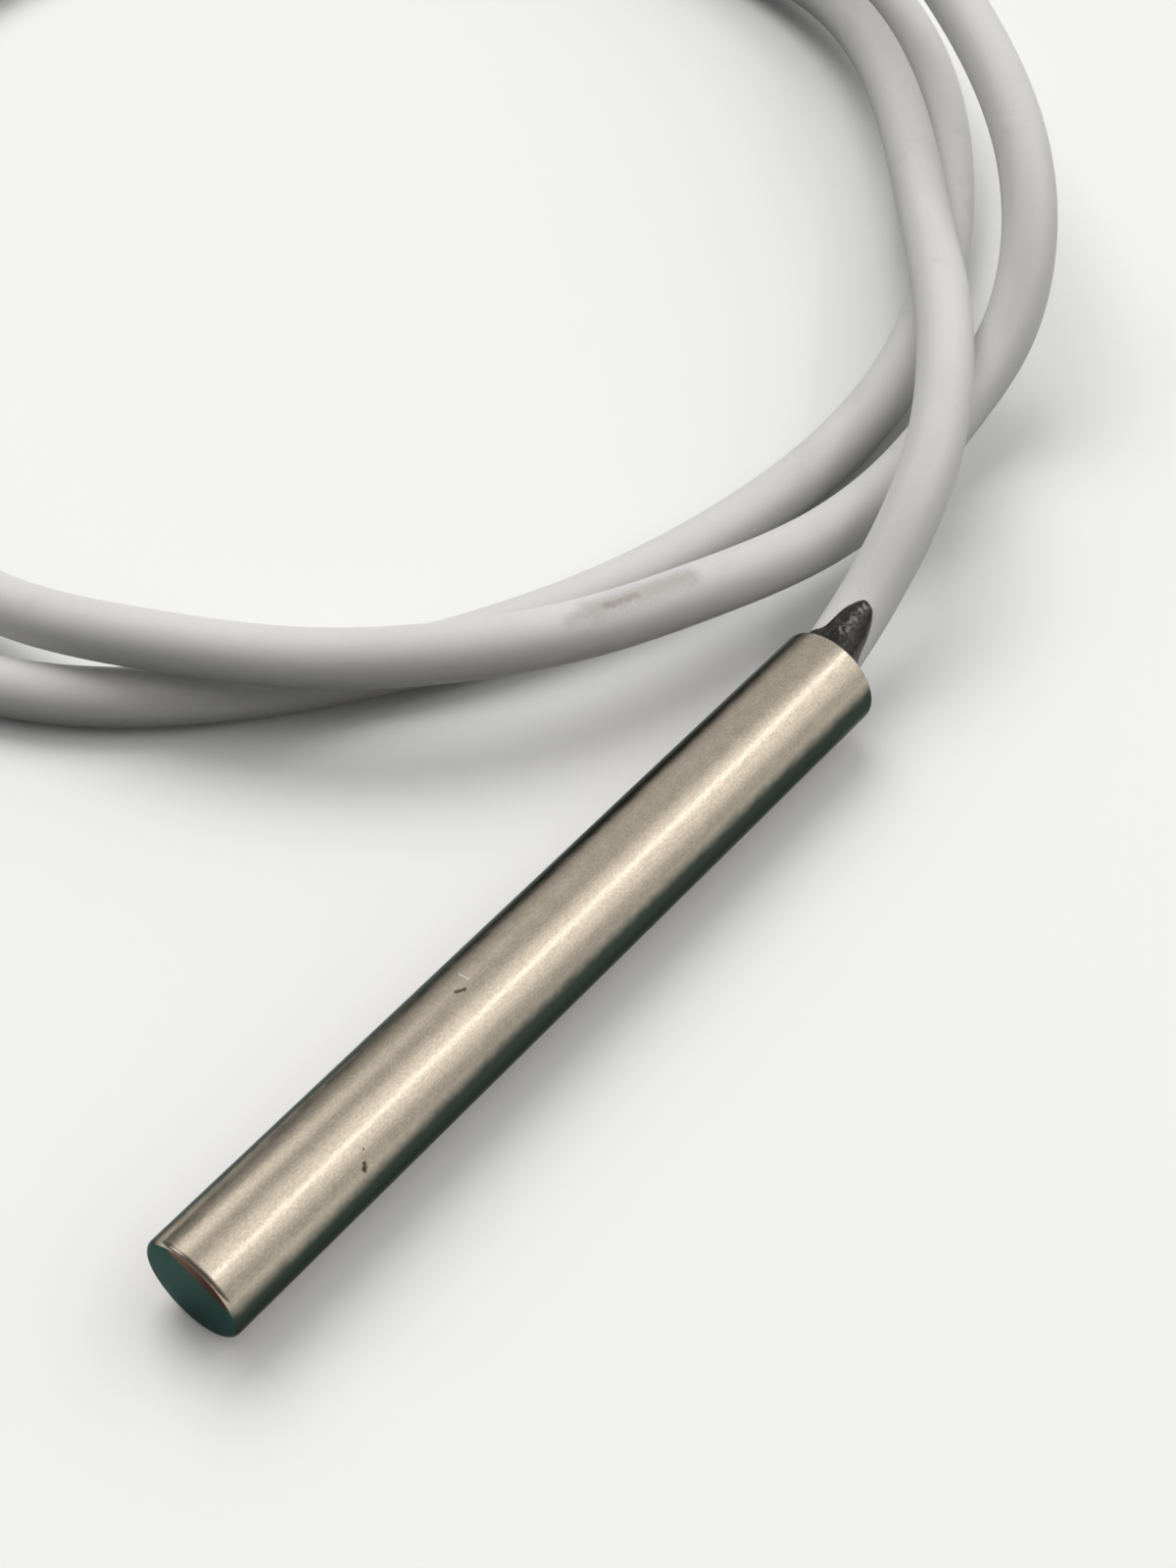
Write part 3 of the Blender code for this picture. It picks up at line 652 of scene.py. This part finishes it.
def tubeProfile():
    outer, corner, rim = probe["diameter"] / 2, probe["tipCorner"], probe["rim"]
    inward = probe["innerCorner"]
    profile = arc(inward, boreRadius - inward, probe["tipWall"] + inward, -90, 0, 5)
    profile += [(boreRadius, probe["length"] * part) for part in (0.25, 0.5, 0.75)]
    profile += arc(rim, boreRadius + rim, probe["length"] - rim, 180, 90, 4)
    profile += arc(rim, outer - rim, probe["length"] - rim, 90, 0, 6)
    profile += [(outer, probe["length"] * part) for part in (0.8, 0.6, 0.4, 0.2)]
    profile += arc(corner, outer - corner, corner, 0, -90, 12)
    return profile + [(outer * 0.5, 0.0)]


pieces = {}


def addPiece(node, slot, piece):
    pieces[node] = piece, slot


tubeRings = turnedRings(tubeProfile(), (tipX, 0.0, axisHeight), probe["steps"])
addPiece("probe_tube", "steel", loftPiece("tube_shell", tubeRings, steelLook()))

greyJacket = jacketLook()
cablePath, cableLength = cableLine(cable["step"])
addPiece("cable", "grey_jacket",
         roundPiece("cable_jacket", [cablePath], cable["diameter"], cable["sides"], greyJacket))
print("tube turned, cable laid:", round(cableLength, 4), "m")


seal = {
    "depth": 0.0100, "steps": 160,
    "radius": boreRadius - 0.00004,
    "hole": cable["diameter"] / 2 + 0.000004,
    "recess": 0.00012,
    "thickness": 0.00034, "ripple": 0.00007, "lumps": (2600.0, 5200.0),
    # how far the epoxy reaches along the cable, by the angle from the top towards -Y, in mm
    "edge": [(-180, 0.6), (-100, 0.8), (-60, 1.15), (-32, 1.3), (-23, 1.5), (-17, 2.2),
             (-12, 3.05), (0, 3.65), (13, 4.15), (27, 4.10), (40, 3.80), (49, 3.2), (57, 2.5),
             (62, 1.8), (71, 1.0), (90, 0.7), (180, 0.5)],
}


def sealRings():
    line, length = cableLine(0.0001)
    run = np.linspace(0.0, length, len(line)) - cable["grip"]
    ahead = np.gradient(line, axis=0)
    ahead /= np.linalg.norm(ahead, axis=1)[:, None]
    across = np.cross((0.0, 0.0, 1.0), ahead)
    across /= np.linalg.norm(across, axis=1)[:, None]
    above = np.cross(ahead, across)
    turns = np.linspace(-math.pi, math.pi, seal["steps"], endpoint=False)
    degrees, reach = zip(*seal["edge"])
    wide = np.interp(np.degrees(np.concatenate([turns, turns, turns])), degrees, reach)
    bell = np.exp(-np.linspace(-2, 2, 9)**2)
    edge = np.convolve(wide, bell / bell.sum(), "same")[len(turns):2 * len(turns)] / 1000

    def onCable(along, radius):
        ring = []
        for j, turn in enumerate(turns):
            k = int(np.clip(np.searchsorted(run, along[j]), 0, len(run) - 1))
            out = above[k] * math.cos(turn) - across[k] * math.sin(turn)
            ring.append(line[k] + out * radius[j])
        return np.array(ring)

    def onBore(x):
        middle = np.array((0.0, cable["mouth"][0], cable["mouth"][1]))
        ring = []
        for turn in turns:
            out = np.array((0.0, -math.sin(turn), math.cos(turn)))
            dot = middle @ out
            gap = -dot + math.sqrt(dot**2 - middle @ middle + seal["radius"]**2)
            ring.append(middle + out * gap + (x, 0.0, axisHeight))
        return np.array(ring)

    coarse, fine = seal["lumps"]
    flat = np.full(len(turns), seal["hole"])
    back = np.full(len(turns), -seal["depth"])
    rings = [onCable(edge + (back - edge) * part, flat) for part in np.linspace(0.0, 1.0, 12)]
    rear = onBore(mouthX - seal["depth"])
    rings += [rings[-1] * 0.5 + rear * 0.5]
    # forward along the bore, then over the cable and out to the edge again
    rings += [onBore(mouthX - seal["depth"] + (seal["depth"] - seal["recess"]) * part)
              for part in (0.0, 0.3, 0.6, 0.9, 1.0)]
    rim = rings[-1]
    start = np.zeros(len(turns))
    for part in np.linspace(0.04, 0.99, 34):
        along = start + (edge - start) * part
        swell = seal["thickness"] * np.clip(edge / 0.004, 0.25, 1.0) * (1 - part**5)**0.6
        over = onCable(along, flat + swell)
        share = (1 - part)**4 if part < 0.6 else 0.0
        ring = over * (1 - share) + rim * share
        for j, p in enumerate(ring):
            bump = noise.noise(Vector(p) * coarse) * 0.5 + noise.noise(Vector(p) * fine) * 0.25
            out = p - line[int(np.clip(np.searchsorted(run, along[j]), 0, len(run) - 1))]
            out /= np.linalg.norm(out)
            ring[j] = p + out * bump * seal["ripple"] * (1 - part**4) * min(1.0, 6 * part)
        rings.append(ring)
    return rings


addPiece("epoxy_seal", "potting", loftPiece("mouth_seal", sealRings(), pottingLook(), True, 60.0))
print("seal drawn up the cable")


tail = {
    "sleeveBack": 0.0080, "sleeveAhead": 0.0040, "sleeveWall": 0.0005,
    "fit": 0.00004, "pairFit": 0.00008,            # air under the sleeve
    "gap": 0.0001, "neck": 0.0022, "lip": 0.00012,
    "waves": (0.92, 0.05, 2300.0),                 # shares of the wall, radians per metre
    "core": 0.0013, "lane": 0.0007, "length": 0.0220,
}
plug = {
    "length": 0.0098, "width": 0.0074, "height": 0.0058, "edge": 0.00025, "pitch": 0.0025,
    "frontWall": 0.0012, "window": 0.0010, "lance": (0.0018, 0.0011), "cavity": 0.0021,
    "ribWidth": 0.0010, "ribHeight": 0.0006, "ribLength": 0.0062, "ribSink": 0.00015,
    "ribEdge": 0.0001, "softening": 0.00007,
}
terminal = {
    "wall": 0.0002, "length": 0.0066, "box": 0.0034, "crimp": 0.0023, "size": 0.0019,
    "gap": 0.0003, "corner": 0.00025, "overlap": 0.0001,
    "ears": ((0.0002, 0.0014), (0.0017, 0.0025)), "earWall": 0.9, "earGap": 0.00003,
    "opening": 8,       # degrees left open on each side of the top
}
terminalBack = plug["length"] - plug["frontWall"] - terminal["gap"] - terminal["length"]

redCore = plainLook("redCore", (0.50, 0.03, 0.03), 0.38, tone=0.10, laid=True)
whiteCore = plainLook("whiteCore", (0.78, 0.78, 0.76), 0.40, tone=0.04, laid=True)
blackSleeve = plainLook("blackSleeve", (0.030, 0.030, 0.031), 0.48, grain=3200.0, tone=0.25,
                        depth=0.000010)
nylon = plainLook("naturalNylon", (0.78, 0.77, 0.72), 0.42, grain=1800.0, tone=0.04)
tinned = plainLook("tinnedCopper", (0.70, 0.70, 0.67), 0.28, 1.0, grain=3000.0, tone=0.10)
cores = (("a", 1, redCore, "red_core"), ("b", -1, whiteCore, "white_core"))

cableEnd = Vector(cablePath[-1])
fineLine = cableLine(0.0002)[0]
endAhead = Vector(fineLine[-1] - fineLine[-2])
endAhead.z = 0.0
endAhead.normalize()
endAside = Vector((-endAhead.y, endAhead.x, 0.0))
plugRear = cableEnd + endAhead * tail["length"]
plugRear.z = plug["height"] / 2
plugPlace = Matrix.Translation(plugRear) @ Matrix.Rotation(math.atan2(endAhead.y, endAhead.x), 4, "Z")


def endSleeveRings(around=56):
    # shrunk over the jacket, then necked down over the pair of cores
    line = cablePath[::-1]
    run = np.concatenate([[0.0], np.cumsum(np.linalg.norm(np.diff(line, axis=0), axis=1))])
    tight = cable["diameter"] / 2 + tail["fit"]
    pairHigh = tail["core"] / 2 + tail["pairFit"]
    pairWide = tail["lane"] + pairHigh

    def ringAt(s, extra):
        share = float(np.clip((s - tail["gap"]) / tail["neck"], 0.0, 1.0))
        share = share * share * (3 - 2 * share)
        wide = tight + (pairWide - tight) * share + extra
        high = tight + (pairHigh - tight) * share + extra
        if s < 0:
            middle = Vector([np.interp(-s, run, line[:, i]) for i in range(3)])
            before = Vector([np.interp(-s + 0.0004, run, line[:, i]) for i in range(3)])
            ahead = (middle - before).normalized()
        else:
            middle, ahead = cableEnd + endAhead * s, endAhead
        across = Vector((-ahead.y, ahead.x, 0.0)).normalized()
        above = ahead.cross(across)
        return [tuple(middle + across * wide * math.cos(a) + above * high * math.sin(a))
                for a in np.linspace(0.0, 2 * math.pi, around, endpoint=False)]

    wall = tail["sleeveWall"]
    level, wave, turns = tail["waves"]
    along = np.linspace(-tail["sleeveBack"], tail["sleeveAhead"], 46)
    outside = [ringAt(s, wall * (level + wave * math.sin(s * turns))) for s in along]
    front = ringAt(along[-1] + tail["lip"], wall * 0.4)
    inside = [ringAt(s, 0.0) for s in along[::-1]]
    return outside + [front] + inside + [ringAt(along[0] - tail["lip"], wall * 0.4)]


sleeveRings = endSleeveRings()
addPiece("end_sleeve", "black_sleeve",
         loftPiece("end_sleeve_shrunk", sleeveRings, blackSleeve, True, 70.0))


def tailLine(side):
    aside = endAside * side * tail["lane"]
    rear = plugRear + endAside * side * (plug["pitch"] / 2)
    knots = [cableEnd + endAhead * tail["gap"] + aside,
             cableEnd + endAhead * tail["sleeveAhead"] + aside,
             rear - endAhead * tail["length"] / 4, rear,
             rear + endAhead * (terminalBack + terminal["crimp"])]
    return splineThrough([tuple(p) for p in knots], 0.0004)[0]


for letter, side, look, slot in cores:
    addPiece("tail_core_" + letter, slot,
             roundPiece("free_core_" + letter, [tailLine(side)], tail["core"], 28, look))


def boxMesh(size, centre, bevel=0.0):
    shape = bmesh.new()
    bmesh.ops.create_cube(shape, size=1.0)
    bmesh.ops.scale(shape, vec=size, verts=shape.verts)
    bmesh.ops.translate(shape, vec=centre, verts=shape.verts)
    if bevel:
        bmesh.ops.bevel(shape, geom=shape.edges, offset=bevel, segments=4, profile=0.5, affect="EDGES")
    return meshFrom(shape, "box")


def carve(name, base, steps, bevel, place):
    # boolean steps on a box, then small edge radii, all baked into one mesh
    item = newItem(name, base)
    others = []
    for operation, mesh in steps:
        other = newItem("other", mesh)
        step = item.modifiers.new(operation, "BOOLEAN")
        step.operation, step.solver, step.object = operation, "EXACT", other
        others.append(other)
    if bevel:
        edge = item.modifiers.new("Edges", "BEVEL")
        edge.width, edge.segments, edge.limit_method = bevel, 2, "ANGLE"
        edge.angle_limit = math.radians(50)
    mesh = bakedMesh(item)
    mesh.transform(place)
    for old in others + [item]:
        bpy.data.objects.remove(old, do_unlink=True)
    return mesh


def plugMesh():
    length, width, height = plug["length"], plug["width"], plug["height"]
    ribSize = (plug["ribLength"], plug["ribWidth"], plug["ribHeight"] + 2 * plug["ribSink"])
    ribMiddle = height / 2 + plug["ribHeight"] / 2 - plug["ribSink"]
    steps = []
    for side in (1, -1):
        ribAt = (length / 2, side * (width / 2 - plug["ribWidth"]), ribMiddle)
        steps.append(("UNION", boxMesh(ribSize, ribAt, plug["ribEdge"])))
    for side in (1, -1):
        lane = side * plug["pitch"] / 2
        depth = length - plug["frontWall"]
        cavity, window = plug["cavity"], plug["window"]
        for size, centre in (((2 * depth, cavity, cavity), (0.0, lane, 0.0)),
                             ((4 * plug["frontWall"], window, window), (length, lane, 0.0)),
                             ((*plug["lance"], height), (length / 2, lane, height / 2))):
            steps.append(("DIFFERENCE", boxMesh(size, centre)))
    base = boxMesh((length, width, height), (length / 2, 0.0, 0.0), plug["edge"])
    return carve("plug", base, steps, plug["softening"], plugPlace)


addPiece("plug_housing", "white_nylon", keep("plug_body", plugMesh(), nylon, 30.0))


def prismMesh(outline, start, end):
    # an outline of (across, up) drawn out along X
    shape = bmesh.new()
    face = shape.faces.new([shape.verts.new((start, y, z)) for y, z in outline])
    moved = bmesh.ops.extrude_face_region(shape, geom=[face])["geom"]
    bmesh.ops.translate(shape, vec=(end - start, 0.0, 0.0),
                        verts=[v for v in moved if isinstance(v, bmesh.types.BMVert)])
    bmesh.ops.recalc_face_normals(shape, faces=shape.faces)
    return meshFrom(shape, "prism")


def joined(meshes, place):
    shape = bmesh.new()
    for mesh in meshes:
        shape.from_mesh(mesh)
    result = meshFrom(shape, "joined")
    result.transform(place)
    return result


def wing(radius, sheet, opening, start, end):
    # crimp ears rolled round a core, their ends meeting on top
    angles = np.radians(np.linspace(90 + opening, 450 - opening, 25))
    outside = [((radius + sheet) * math.cos(a), (radius + sheet) * math.sin(a)) for a in angles]
    inside = [(radius * math.cos(a), radius * math.sin(a)) for a in angles[::-1]]
    return prismMesh(outside + inside, start, end)


def terminalMesh(side):
    sheet, half, soft = terminal["wall"], terminal["size"] / 2, terminal["corner"]
    back, tip = terminalBack, terminalBack + terminal["length"]
    boxStart = tip - terminal["box"]
    corners = [(1, 1), (-1, 1), (-1, -1), (1, -1)]

    def square(size, x):
        ring, flat = [], size - soft
        for (y, z), first in zip(corners, (0, 90, 180, 270)):
            for degrees in (first, first + 30, first + 60, first + 90):
                a = math.radians(degrees)
                ring.append((x, y * flat + soft * math.cos(a), z * flat + soft * math.sin(a)))
        return ring

    tube = loftMesh("box", [square(half, boxStart), square(half, tip), square(half - sheet, tip),
                            square(half - sheet, boxStart)], True)
    channel = [(half, 0.0), (half, -half), (-half, -half), (-half, 0.0),
               (-half + sheet, 0.0), (-half + sheet, -half + sheet), (half - sheet, -half + sheet),
               (half - sheet, 0.0)]
    floor = prismMesh(channel, back, boxStart + terminal["overlap"])
    radius = tail["core"] / 2 + terminal["earGap"]
    ears = [wing(radius, sheet * terminal["earWall"], terminal["opening"], back + start, back + end)
            for start, end in terminal["ears"]]
    place = plugPlace @ Matrix.Translation((0.0, side * plug["pitch"] / 2, 0.0))
    return joined([tube, floor] + ears, place)


for letter, side, *_ in cores:
    addPiece("plug_terminal_" + letter, "tinned_copper",
             keep("contact_" + letter, terminalMesh(side), tinned, 30.0))
print("far end done")

inner = {
    # along X from and to, and radii inside and outside, for each of the tubes
    "compound": (-0.0243, -0.0195), "pocket": 0.0011, "floor": 0.0006, "fit": 0.0001,
    "bead": {"length": 0.0028, "radius": 0.00095, "end": -0.0208},
    "lead": 0.0003, "leadPitch": 0.00045, "leadBend": 0.0016, "leadGap": 0.00003,
    "leadSleeve": (0.00025, 0.00040), "sleeveGap": 0.00015, "insertion": 0.0024,
    "barrel": (-0.00825, -0.00225), "barrelRadii": (0.00040, 0.00058),
    "dents": ((0.22, 0.00012), (0.78, 0.00008)), "dentLength": 0.00055,
    "cover": (-0.00915, -0.00135), "coverRadii": (0.00068, 0.00093), "coverWaist": 0.00006,
    "lane": 0.00108, "core": 0.0013, "coreEnd": -0.00105, "coreLane": 0.0007,
    "bare": 0.0036, "strand": 0.0002, "twist": 0.0045, "strandGap": 0.00005,
}
whitePaste = plainLook("whitePaste", (0.80, 0.80, 0.78), 0.60, grain=1500.0, tone=0.05, depth=0.00003)
beadEpoxy = plainLook("beadEpoxy", (0.030, 0.030, 0.035), 0.28, grain=1500.0, tone=0.3, depth=0.00001)
nickelWire = plainLook("nickelWire", (0.60, 0.58, 0.54), 0.32, 1.0, laid=True)
clearSleeve = plainLook("clearSleeve", (0.74, 0.71, 0.61), 0.36, grain=3000.0)
bareCopper = plainLook("bareCopper", (0.72, 0.40, 0.25), 0.30, 1.0, tone=0.12, laid=True)


def compoundProfile():
    start, end = inner["compound"]
    length, outer, pocket = end - start, boreRadius - inner["fit"], inner["pocket"]
    floor = inner["floor"]
    profile = [(0.0004, floor), (pocket - 0.0001, floor), (pocket, floor + 0.0001)]
    profile += [(pocket, floor + (length - 0.0010 - floor) * part) for part in (0.4, 0.8)]
    # the face is drawn up a little at the pocket's rim and at the wall
    profile += [(pocket + (outer - pocket) * t, length - 0.0003 * math.sin(math.pi * t))
                for t in np.linspace(0.02, 0.98, 14)]
    return profile + [(outer, length - 0.0001), (outer, 0.0002), (outer - 0.0002, 0.0), (0.0005, 0.0)]


def beadProfile():
    bead = inner["bead"]
    angles = np.linspace(0.06, math.pi - 0.06, 26)
    return [(bead["radius"] * math.sin(a)**0.85 * (1 - 0.16 * max(0.0, -math.cos(a))),
             -bead["length"] / 2 - bead["length"] / 2 * math.cos(a)) for a in angles]


def straightTube(radii, start, end, y, soft=0.00003, dents=(), waist=0.0, around=40):
    # rings of a thin tube along X; dents pinch it, a waist shrinks its ends
    small, large = radii
    reach = end - start

    def ring(radius, x, wall):
        t = (x - start) / reach
        ends = waist * (max(0.0, 1 - t / 0.10)**2 + max(0.0, 1 - (1 - t) / 0.10)**2)
        points = []
        for a in np.linspace(0.0, 2 * math.pi, around, endpoint=False):
            pinch = sum(depth * math.exp(-((x - start - at * reach) / inner["dentLength"])**2)
                        for at, depth in dents) * max(0.0, math.cos(a))**4
            r = radius - ends - pinch * wall
            points.append((x, y - r * math.sin(a), axisHeight + r * math.cos(a)))
        return points

    along = [start + soft + (reach - 2 * soft) * t for t in np.linspace(0.0, 1.0, 34)]
    rings = [ring(large - soft, start, 1.0)] + [ring(large, x, 1.0) for x in along]
    rings += [ring(large - soft, end, 1.0), ring(small + soft, end, 1.0)]
    return rings + [ring(small, x, 0.9) for x in along[::-1]] + [ring(small + soft, start, 1.0)]


def strandLines(side):
    # seven strands, six twisted round one
    start, reach = inner["coreEnd"] - inner["strandGap"], inner["bare"] - inner["strandGap"]
    lines = [[(start - reach * t, side * inner["lane"], axisHeight) for t in (0.0, 0.5, 1.0)]]
    for k in range(6):
        line = []
        for t in np.linspace(0.0, 1.0, 26):
            a = k * math.pi / 3 + 2 * math.pi * reach * t / inner["twist"]
            line.append((start - reach * t, side * inner["lane"] + inner["strand"] * math.cos(a),
                         axisHeight + inner["strand"] * math.sin(a)))
        lines.append(line)
    return lines


def levelLine(knots, step):
    return splineThrough([(x, y, axisHeight) for x, y in knots], step)[0]


def leadLine(side):
    # out of the bead side by side, then apart to the barrels
    lane, near = side * inner["lane"], side * inner["leadPitch"]
    start, bend = inner["bead"]["end"] + inner["leadGap"], inner["compound"][1]
    return levelLine([(start, near), (start + 0.0006, near), (bend, near),
                      (bend + inner["leadBend"] / 2, (near + lane) / 2),
                      (bend + inner["leadBend"], lane), (bend + 0.004, lane),
                      (inner["barrel"][0] + inner["insertion"], lane)], 0.0002)


def coreLine(side):
    # out of the stripped jacket, then apart to the barrels
    lane, close = side * inner["lane"], side * inner["coreLane"]
    end = mouthX - cable["grip"]
    return levelLine([(end - 0.0001, close), (end - 0.0007, close),
                      (end - 0.0020, (lane + close) / 2), (end - 0.0034, lane),
                      (end - 0.0060, lane), (inner["coreEnd"], lane)], 0.0003)


compound = turnedRings(compoundProfile(), (inner["compound"][0], 0.0, axisHeight), 72)
addPiece("tip_compound", "white_paste", loftPiece("tip_filling", compound, whitePaste))
beadRings = turnedRings(beadProfile(), (inner["bead"]["end"], 0.0, axisHeight), 56)
addPiece("sensing_bead", "bead_epoxy", loftPiece("bead_drop", beadRings, beadEpoxy))
sleeveEnds = (inner["compound"][1] + inner["leadBend"] + inner["sleeveGap"],
              inner["cover"][0] - inner["sleeveGap"])
for letter, side, look, slot in cores:
    lane = side * inner["lane"]
    addPiece("bead_lead_" + letter, "nickel",
             roundPiece("lead_wire_" + letter, [leadLine(side)], inner["lead"], 16, nickelWire))
    rings = straightTube(inner["leadSleeve"], *sleeveEnds, lane)
    addPiece("lead_sleeve_" + letter, "clear_sleeve",
             loftPiece("lead_tube_" + letter, rings, clearSleeve, True))
    rings = straightTube(inner["barrelRadii"], *inner["barrel"], lane, 0.00004, inner["dents"])
    addPiece("splice_barrel_" + letter, "tinned_copper",
             loftPiece("crimped_barrel_" + letter, rings, tinned, True))
    rings = straightTube(inner["coverRadii"], *inner["cover"], lane, 0.00005, (), inner["coverWaist"])
    addPiece("splice_sleeve_" + letter, "black_sleeve",
             loftPiece("splice_cover_" + letter, rings, blackSleeve, True))
    addPiece("conductor_" + letter, "bare_copper",
             roundPiece("strands_" + letter, strandLines(side), inner["strand"] * 0.99, 12, bareCopper))
    addPiece("core_" + letter, slot,
             roundPiece("inner_core_" + letter, [coreLine(side)], inner["core"], 28, look))
print("inside of the probe done")

for node, (piece, slot) in pieces.items():
    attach(piece, "root")
    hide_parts(node)
